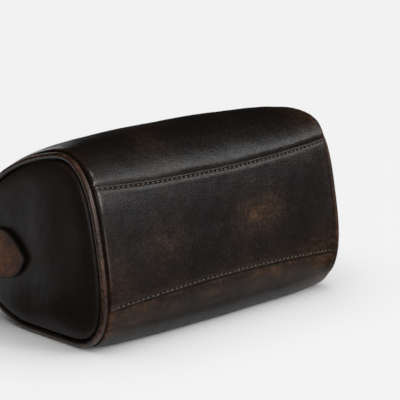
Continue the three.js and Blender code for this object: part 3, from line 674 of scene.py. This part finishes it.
def strap_tab(end):
    up_line, half_line = tab_outline()
    border = np.concatenate([np.stack([half_line, up_line], -1)[::-1], np.stack([-half_line, up_line], -1)])
    q_end = math.sqrt(RING_UP - 2 - TAB_TIP_UP)
    q = np.linspace(.10, q_end, 84)
    outer_up = q ** 2 + TAB_TIP_UP
    f = smooth(RING_UP - 16, RING_UP - 2, outer_up)
    outer_lift = OUTER_LIFT + (RING_LIFT + LOOP_R - OUTER_LIFT) * f
    t = math.pi / 2 - np.linspace(0, 1, 20)[1:-1] * math.pi
    loop_up, loop_lift = RING_UP + LOOP_R * np.cos(t), RING_LIFT + LOOP_R * np.sin(t)
    inner_up = np.linspace(math.sqrt(RING_UP - TAB_TIP_UP), .10, 50) ** 2 + TAB_TIP_UP
    path_up = np.concatenate([outer_up, loop_up, inner_up])
    path_lift = np.concatenate([outer_lift, loop_lift, np.full(len(inner_up), INNER_LIFT)])
    d_up, d_lift = np.gradient(path_up), np.gradient(path_lift)
    l = np.hypot(d_up, d_lift)
    half = TAB_HALF(np.sqrt(np.clip(path_up - TAB_TIP_UP, 0, None)))
    side = np.concatenate([[0, .005, .012, .022, .035, .05, .07, .095, .125, .16, .19, .21, .225, .24, .255, .27, .29, .32, .37, .44, .53, .64, .76, .88], [1]])
    c = np.concatenate([side - 1, (1 - side)[::-1][1:]])
    out = half[:, None] * c[None, :]
    up = np.broadcast_to(path_up[:, None], out.shape)
    # distance in from the tab's edge, for its rounding and its rubbed middle
    flat = np.stack([out, np.clip(up, None, RING_UP)], -1).reshape(-1, 2)
    gap = np.empty(len(flat))
    for i in range(0, len(flat), 2000):
        some = flat[i:i + 2000, None, :] - border[None, :, :]
        gap[i:i + 2000] = np.sqrt((some ** 2).sum(-1)).min(1)
    gap = gap.reshape(out.shape)
    gap = np.where(np.abs(c)[None, :] > .999, 0, gap)
    on_top = np.zeros(len(path_up), bool)
    on_top[:len(outer_up) + 9] = True
    crown = .5 * smooth(0, 9, gap) * on_top[:, None]
    skin = STRIP / 2 + rounded_edge(gap, .6, .6) * .95 + crown + .03 * QUICK_WAVES(out, up)

    leaning = -3.4 * (np.clip(75 - up, 0, None) / 21) ** 1.3

    def place(offset):
        u = up - offset * (d_lift / l)[:, None]
        lift = path_lift[:, None] + offset * (d_up / l)[:, None]
        return lay(end * (LENGTH / 2 + bed_at(out + leaning, up) + lift), out + leaning, u)

    outer, inner = place(skin), place(np.full_like(skin, -STRIP / 2))
    points, faces = sheet(outer, inner)
    wear_and_sheen = on_top[:, None] * (.85 * smooth(.4, 2.6, gap) * (1 + .3 * SLOW(out * 2.4, up * 2.4))) + 0 * gap
    # the tab's face goes near black toward its edge
    shade_and_dark_edge = .5 * np.exp(-(gap / .8) ** 2)
    # faces near the edge and on the flesh side's rim take the edge paint
    count = gap.size
    paint = np.concatenate([(gap < .55).reshape(-1), np.ones(count, bool)])
    index = [1 if all(paint[v] for v in f) else 0 for f in faces]
    name = "strap_tab_leather_" + ("left" if end < 0 else "right")
    return mesh_object(name, points, faces, {"wear_and_sheen": skin_only(np.clip(wear_and_sheen, 0, 1.2), gap.shape), "shade_and_dark_edge": skin_only(shade_and_dark_edge, gap.shape)}, [tab_leather, edge_paint], index)


def d_ring(end):
    """A bent and soldered round wire: a straight bar and a flat-topped bow."""
    t = np.linspace(0, math.pi, 121)
    flat = .82
    bow = np.stack([RING_HALF * np.sign(np.cos(t)) * np.abs(np.cos(t)) ** flat, RING_REACH * np.sin(t) ** flat], -1)
    bar = np.stack([np.linspace(-RING_HALF, RING_HALF, 60)[1:-1], np.zeros(58)], -1)
    path = np.concatenate([bow, bar])
    path = np.concatenate([path, path[:1]])
    walked = np.concatenate([[0], np.cumsum(np.linalg.norm(np.diff(path, axis=0), axis=1))])
    at = np.linspace(0, walked[-1], 241)[:-1]
    path = np.stack([np.interp(at, walked, path[:, 0]), np.interp(at, walked, path[:, 1])], -1)
    for _ in range(10):
        path = .25 * np.roll(path, 1, 0) + .5 * path + .25 * np.roll(path, -1, 0)
    d = np.roll(path, -1, 0) - np.roll(path, 1, 0)
    d /= np.linalg.norm(d, axis=1)[:, None]
    turn = np.arange(18) / 18 * 2 * math.pi
    # the solder joint is a faint swelling in the middle of the bar
    swell = 1 + .07 * bell(path[:, 0], 1.0) * (path[:, 1] < 2)
    r = (RING_WIRE_R * swell)[:, None]
    out = path[:, :1] + d[:, 1:] * r * np.cos(turn)[None, :]
    up = RING_UP + path[:, 1:] - d[:, :1] * r * np.cos(turn)[None, :]
    points = lay(end * (LENGTH / 2 + BED + RING_LIFT + r * np.sin(turn)[None, :]), out, up)
    flat_points, faces = loop_grid(points)
    return mesh_object("d_ring_wire_" + ("left" if end < 0 else "right"), flat_points, faces, None, [brass])


# ------------------------------------------------------------------ stitches
def grain_of_thread(rings=7, sides=8):
    """One stitch: along, across and high, rising out of one needle hole and into the next."""
    points, faces = [], []
    for i in range(rings):
        u = -1 + 2 * i / (rings - 1)
        r = .30 * max(.28, (1 - abs(u) ** 3.2)) ** .5
        for j in range(sides):
            a = 2 * math.pi * j / sides
            points.append((u * 1.12, 1.12 * r * math.cos(a), .9 * r * math.sin(a) + .26 * (1 - u * u) - .16))
    for i in range(rings - 1):
        for j in range(sides):
            k = (j + 1) % sides
            faces.append([i * sides + j, i * sides + k, (i + 1) * sides + k, (i + 1) * sides + j])
    faces.append(list(range(sides))[::-1])
    faces.append([(rings - 1) * sides + j for j in range(sides)])
    points = np.array(points)
    return points, facing_out(points, faces)


# a small flat disc, set in each needle hole and given the near-black hole finish as painted shade
def hole_shade_mark(rings=4, sides=8):
    points, faces = [(0, 0, .10)], []
    for i in range(1, rings):
        a = math.pi * i / rings
        for j in range(sides):
            b = 2 * math.pi * j / sides
            points.append((.34 * math.sin(a) * math.cos(b), .34 * math.sin(a) * math.sin(b), .10 * math.cos(a)))
    points.append((0, 0, -.10))
    last = len(points) - 1
    for j in range(sides):
        k = (j + 1) % sides
        faces.append([0, 1 + j, 1 + k])
        for i in range(rings - 2):
            a, b = 1 + i * sides, 1 + (i + 1) * sides
            faces.append([a + j, b + j, b + k, a + k])
        faces.append([1 + (rings - 2) * sides + j, last, 1 + (rings - 2) * sides + k])
    points = np.array(points)
    return points, facing_out(points, faces)


THREAD, HOLE_SHADE = grain_of_thread(), hole_shade_mark()


def copies(template, centres, along, away, size=(1, 1, 1), slant=0.0):
    points, faces = template
    along = along / np.linalg.norm(along, axis=1)[:, None]
    away = away - (away * along).sum(1)[:, None] * along
    away = away / np.linalg.norm(away, axis=1)[:, None]
    across = np.cross(away, along)
    c, s = np.cos(slant), np.sin(slant)
    if np.ndim(c) == 0:
        c, s = np.full(len(centres), c), np.full(len(centres), s)
    t, b = along * c[:, None] + across * s[:, None], across * c[:, None] - along * s[:, None]
    size = np.broadcast_to(np.asarray(size, float), (len(centres), 3))
    local = points[None] * size[:, None, :]
    world = centres[:, None] + local[..., :1] * t[:, None] + local[..., 1:2] * b[:, None] + local[..., 2:] * away[:, None]
    n = len(points)
    all_faces = [[v + i * n for v in f] for i in range(len(centres)) for f in faces]
    return world.reshape(-1, 3), all_faces


def stitch_row(name, rows, pitch):
    """Rows of stitches, each given as its places, directions along and directions away from the leather."""
    points, faces, index = [], [], []
    start = 0
    for centres, along, away in rows:
        n = len(centres)
        size = np.stack([pitch / 3.7 * rng.uniform(.94, 1.05, n), rng.uniform(.92, 1.1, n), rng.uniform(.9, 1.12, n)], -1)
        p, f = copies(THREAD, centres, along, away, size, .10 + rng.uniform(-.05, .05, n))
        points.append(p)
        faces += [[v + start for v in some] for some in f]
        index += [0] * len(f)
        start += len(p)
        step = along / np.linalg.norm(along, axis=1)[:, None] * pitch / 2
        up = away / np.linalg.norm(away, axis=1)[:, None]
        # a near-black mark at each needle hole: painted shade
        p, f = copies(HOLE_SHADE, centres + step - up * .05, along, away, (2.3, 1.35, 1.0), .38)
        points.append(p)
        faces += [[v + start for v in some] for some in f]
        index += [1] * len(f)
        start += len(p)
    return mesh_object(name, np.concatenate(points), faces, None, [sewing_thread, needle_hole_shade], index)


def wall_row(walked_of_x, raised, x_from, x_to):
    """A row along the body, spaced by the leather's own length and never skipping a hole."""
    x = np.arange(math.ceil(x_from / STITCH_PITCH) * STITCH_PITCH + STITCH_PITCH / 2, x_to, STITCH_PITCH)
    at = lambda v, r: wall(v, walked_of_x(v), np.full_like(v, r) + uneven(v, walked_of_x(v)))
    return at(x, raised), at(x + .5, raised) - at(x - .5, raised), at(x, raised + 1) - at(x, raised)


# ------------------------------------------------------------------ zip
def zip_tape():
    reach = PANEL_END
    x = np.linspace(-reach, reach, 170)[None, :]
    v = np.linspace(-TAPE_HALF, TAPE_HALF, 41)[:, None]
    walked = HALF_GIRTH + v
    raised = -(WALL + GAP) + .35 * bell(np.abs(v) - 3.4, .9) + .05 * QUICK_WAVES(x, v) + 0 * x
    outer, inner = wall(x + 0 * v, walked + 0 * x, raised), wall(x + 0 * v, walked + 0 * x, raised - 1.0)
    points, faces = sheet(outer, inner)
    return mesh_object("zip_tape_cloth", points, faces, None, [tape_cloth])


def bevelled(make, offset, segments=2):
    bm = bmesh.new()
    make(bm)
    bmesh.ops.recalc_face_normals(bm, faces=bm.faces)
    bmesh.ops.bevel(bm, geom=list(bm.edges), offset=offset, segments=segments, profile=.5, affect="EDGES", clamp_overlap=True)
    bm.verts.ensure_lookup_table()
    bm.verts.index_update()
    points = np.array([v.co[:] for v in bm.verts])
    faces = [[v.index for v in f.verts] for f in bm.faces]
    bm.free()
    return points, facing_out(points, faces)


def prism(outline, low, high):
    """An outline drawn in the first two directions and raised in the third."""
    def make(bm):
        a = [bm.verts.new((p[0], p[1], low)) for p in outline]
        b = [bm.verts.new((p[0], p[1], high)) for p in outline]
        bm.faces.new(a[::-1])
        bm.faces.new(b)
        for i in range(len(a)):
            j = (i + 1) % len(a)
            bm.faces.new((a[i], a[j], b[j], b[i]))
    return make


def zip_teeth():
    """Cast teeth in two rows that mesh along the middle."""
    pitch = 2.5
    tooth = bevelled(prism([(-.78, -1.35), (.78, -1.35), (.78, .5), (.46, 1.45), (-.46, 1.45), (-.78, .5)], -.85, .85), .26, 2)
    points, faces, start = [], [], 0
    for side in (-1, 1):
        x = np.arange(-PANEL_END + 3.5, PANEL_END - 3.5, pitch) + (pitch / 2 if side > 0 else 0)
        v = HALF_GIRTH + side * .95
        at = lambda a, r: wall(a, np.full_like(a, v), np.full_like(a, r))
        centres = at(x, -.95)
        away = at(x, 0.0) - at(x, -1.0)
        along = np.broadcast_to(np.array([float(side), 0, 0]), centres.shape)
        p, f = copies(tooth, centres, along, away)
        points.append(p)
        faces += [[k + start for k in some] for some in f]
        start += len(p)
    return mesh_object("zip_teeth_metal", np.concatenate(points), faces, None, [brass])


def rounded_outline(points, radius, steps=5):
    """The same polygon with its corners turned by small arcs."""
    points = [np.array(p, float) for p in points]
    result = []
    for i, p in enumerate(points):
        a, b = points[i - 1] - p, points[(i + 1) % len(points)] - p
        la, lb = np.linalg.norm(a), np.linalg.norm(b)
        r = min(radius, .45 * la, .45 * lb)
        for s in np.linspace(0, 1, steps):
            q0, q1 = p + a / la * r, p + b / lb * r
            result.append((1 - s) ** 2 * q0 + 2 * s * (1 - s) * p + s * s * q1)
    return result


def zip_slider():
    """Slider body with its two plates, the bridge over it and a plain pull hanging from the bridge."""
    seat = wall(np.array(SLIDER_X), np.array(HALF_GIRTH), np.array(.4))
    x_axis, up_axis, out_axis = np.array([1.0, 0, 0]), np.array([0, CL, -SL]), np.array([0, SL, CL])
    pieces = []

    def add(solid, order):
        p, f = solid
        pieces.append((seat + p[:, :1] * order[0] + p[:, 1:2] * order[1] + p[:, 2:] * order[2], f))

    shield = rounded_outline([(-5.4, -2.6), (-2.0, -4.2), (4.6, -4.2), (5.4, -2.8), (5.4, 2.8), (4.6, 4.2), (-2.0, 4.2), (-5.4, 2.6)], 1.6)
    add(bevelled(prism(shield, .15, 1.95), .32), (x_axis, out_axis, up_axis))
    arch = [(-3.0, 1.7), (-2.6, 3.4), (-1.4, 4.35), (1.4, 4.35), (2.6, 3.4), (3.0, 1.7), (2.0, 1.7), (1.7, 2.9), (.9, 3.35), (-.9, 3.35), (-1.7, 2.9), (-2.0, 1.7)]
    add(bevelled(prism(arch, -1.15, 1.15), .16), (x_axis, up_axis, out_axis))
    pull = rounded_outline([(-1.5, .4), (-3.1, -4.8), (-3.1, -26.4), (3.1, -26.4), (3.1, -4.8), (1.5, .4)], 1.8)
    add(bevelled(prism(pull, 4.25, 5.65), .34), (x_axis, out_axis, up_axis))
    ridge = rounded_outline([(-1.6, -7.0), (-1.6, -23.6), (1.6, -23.6), (1.6, -7.0)], 1.2)
    add(bevelled(prism(ridge, 5.5, 5.95), .15), (x_axis, out_axis, up_axis))
    points, faces, start = [], [], 0
    for p, f in pieces:
        points.append(p)
        faces += [[k + start for k in some] for some in facing_out(p, f)]
        start += len(p)
    piece = mesh_object("zip_slider_metal", np.concatenate(points), faces, None, [brass])
    return piece


# ------------------------------------------------------------------ the bag
def carried(piece, slot, *nodes):
    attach(piece, "root")
    if nodes:
        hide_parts(*nodes)
    piece.data.set_sharp_from_angle(angle=math.radians(62))
    return piece


carried(bottom_panel(), "leather_panels", "bottom_panel")
carried(side_panel(1), "leather_panels", "front_panel")
carried(side_panel(-1), "leather_panels", "back_panel")
for end, name in ((-1, "left"), (1, "right")):
    carried(end_panel(end), "leather_ends", "end_panel_" + name)
    carried(bead(end), "leather_piping", "piping_" + name)
    carried(strap_tab(end), "leather_tabs", "strap_tab_" + name)
    carried(d_ring(end), "hardware", "d_ring_" + name)
carried(zip_tape(), "zip_tape", "zip_tape")
carried(zip_teeth(), "hardware", "zip_teeth")
carried(zip_slider(), "hardware", "zip_slider")
base_rows = [wall_row(lambda v, s=s: s * (seam_at(v, s) - SEAM_STITCH_IN[s]), -.10, -95.5, 95.5) for s in (1, -1)]
carried(stitch_row("base_seam_stitches", base_rows, STITCH_PITCH), "leather_panels")
zip_rows = [wall_row(lambda v, s=s: s * (HALF_GIRTH - ZIP_HALF - ZIP_STITCH_IN) + 0 * v, -.10, -95.5, 95.5) for s in (1, -1)]
carried(stitch_row("zip_edge_stitches", zip_rows, STITCH_PITCH), "leather_panels")

# ------------------------------------------------------------------ floor, light and camera (metres)
FLOOR_Z = -.00006
# lines that part the floor into cells; the leather mirrors the ones near it, but not those well out in front
ACROSS = (-9.0, -1.0, -.45, -.26, -.115, .11, .70, 9.0)
BESIDE = tuple(-.125 + .005 * k for k in range(14))
DEPTH = (-9.0, -.16) + BESIDE + (.05, .14, .50, 1.2, 9.0)


def mirrored(i, j):
    x, y = (ACROSS[i] + ACROSS[i + 1]) / 2, (DEPTH[j] + DEPTH[j + 1]) / 2
    if BESIDE[0] < y < BESIDE[-1]:
        return -.115 < x < .11 and j % 2 == 0
    if x > -.115:
        return x < .70 and -.06 < y < .50
    return y < 1.2 and (x > -.26 and y > .05 or x > -.45 and y > .14 or x > -1.0 and y > .50)


def floor_piece(name, rectangles, material):
    mesh = bpy.data.meshes.new(name)
    points, faces = [], []
    for x0, y0, x1, y1 in rectangles:
        k = len(points)
        points += [(x0, y0, FLOOR_Z), (x1, y0, FLOOR_Z), (x1, y1, FLOOR_Z), (x0, y1, FLOOR_Z)]
        faces.append((k, k + 1, k + 2, k + 3))
    mesh.from_pydata(points, [], faces)
    mesh.materials.append(material)
    piece = bpy.data.objects.new(name, mesh)
    bpy.context.scene.collection.objects.link(piece)
    return piece


floor_finish = pale_floor("pale_floor")
cells = [(i, j, (ACROSS[i], DEPTH[j], ACROSS[i + 1], DEPTH[j + 1])) for i in range(len(ACROSS) - 1) for j in range(len(DEPTH) - 1)]
floor_near = floor_piece("floor_near", [box for i, j, box in cells if mirrored(i, j)], floor_finish)
floor_far = floor_piece("floor_far", [box for i, j, box in cells if not mirrored(i, j)], floor_finish)

scene = bpy.context.scene
world = bpy.data.worlds.new("studio")
scene.world = world
world.use_nodes = True
# a dim room, darker behind the bag and out to its left, with the floor's own pale tone where the room itself is seen
sky = world.node_tree.nodes["Background"]
sky.inputs[0].default_value = (1, 1, 1, 1)
where = world.node_tree.nodes.new("ShaderNodeTexCoord")
behind = world.node_tree.nodes.new("ShaderNodeVectorMath")
behind.operation = "DOT_PRODUCT"
behind.inputs[1].default_value = (.70, .71, .0)
fade = world.node_tree.nodes.new("ShaderNodeMapRange")
fade.interpolation_type = "SMOOTHSTEP"
for i, v in enumerate((-.35, .50, 1.0, 0.0)):
    fade.inputs[1 + i].default_value = v
beside_left = world.node_tree.nodes.new("ShaderNodeVectorMath")
beside_left.operation = "DOT_PRODUCT"
beside_left.inputs[1].default_value = (-.80, .60, .0)
fade_left = world.node_tree.nodes.new("ShaderNodeMapRange")
fade_left.interpolation_type = "SMOOTHSTEP"
for i, v in enumerate((.2, .8, .145, .02)):
    fade_left.inputs[1 + i].default_value = v
room = world.node_tree.nodes.new("ShaderNodeMath")
room.operation = "MULTIPLY_ADD"
room.inputs[2].default_value = .010
path = world.node_tree.nodes.new("ShaderNodeLightPath")
seen = world.node_tree.nodes.new("ShaderNodeMix")
seen.inputs[3].default_value = .871
join = world.node_tree.links.new
join(where.outputs["Generated"], behind.inputs[0])
join(behind.outputs["Value"], fade.inputs[0])
join(path.outputs["Is Camera Ray"], seen.inputs[0])
join(where.outputs["Generated"], beside_left.inputs[0])
join(beside_left.outputs["Value"], fade_left.inputs[0])
join(fade.outputs[0], room.inputs[0])
join(fade_left.outputs[0], room.inputs[1])
join(room.outputs[0], seen.inputs[2])
join(seen.outputs[0], sky.inputs[1])


def soft_sun(name, toward, wide_deg, strength):
    """Even light from a wide round patch of the studio in the direction "toward"."""
    light = bpy.data.lights.new(name, "SUN")
    light.angle, light.energy = math.radians(wide_deg), strength
    lamp = bpy.data.objects.new(name, light)
    d = Vector(toward).normalized()
    lamp.location = d * 2
    lamp.rotation_euler = (-d).to_track_quat("-Z", "Y").to_euler()
    scene.collection.objects.link(lamp)
    return lamp


soft_sun("overhead", (.02, -.08, 1.0), 88, 2.21).visible_glossy = False
soft_sun("upper_front", (.34, -.56, .755), 12, .24)
soft_sun("tall_front", (.34, -.77, .54), 14, .38)
soft_sun("right_key", (.69, -.59, .42), 16, .42)
soft_sun("left_front", (-.52, -.77, .34), 26, .85)
soft_sun("left_low", (-.74, -.66, .07), 22, .20)
soft_sun("key_left", (.32, -.86, .38), 18, .50)
soft_sun("low_front", (.12, -.99, .04), 16, .18)
soft_sun("back_rim", (.44, .88, .16), 18, .08)
soft_sun("right_front_fill", (.38, -.89, .20), 40, .08)
floor_far.visible_glossy = False

YAW, PITCH = math.radians(44.608), math.radians(13.182)
camera = bpy.data.objects.new("camera", bpy.data.cameras.new("camera"))
camera.data.sensor_width, camera.data.lens = 36.0, 144.0
camera.data.clip_start, camera.data.clip_end = .05, 60
camera.location = (-.66767, -.71511, .29376)
ahead = Vector((math.cos(PITCH) * math.sin(YAW), math.cos(PITCH) * math.cos(YAW), -math.sin(PITCH)))
camera.rotation_euler = ahead.to_track_quat("-Z", "Y").to_euler()
scene.collection.objects.link(camera)
scene.camera = camera
scene.view_settings.view_transform = "Standard"
scene.view_settings.look = "None"
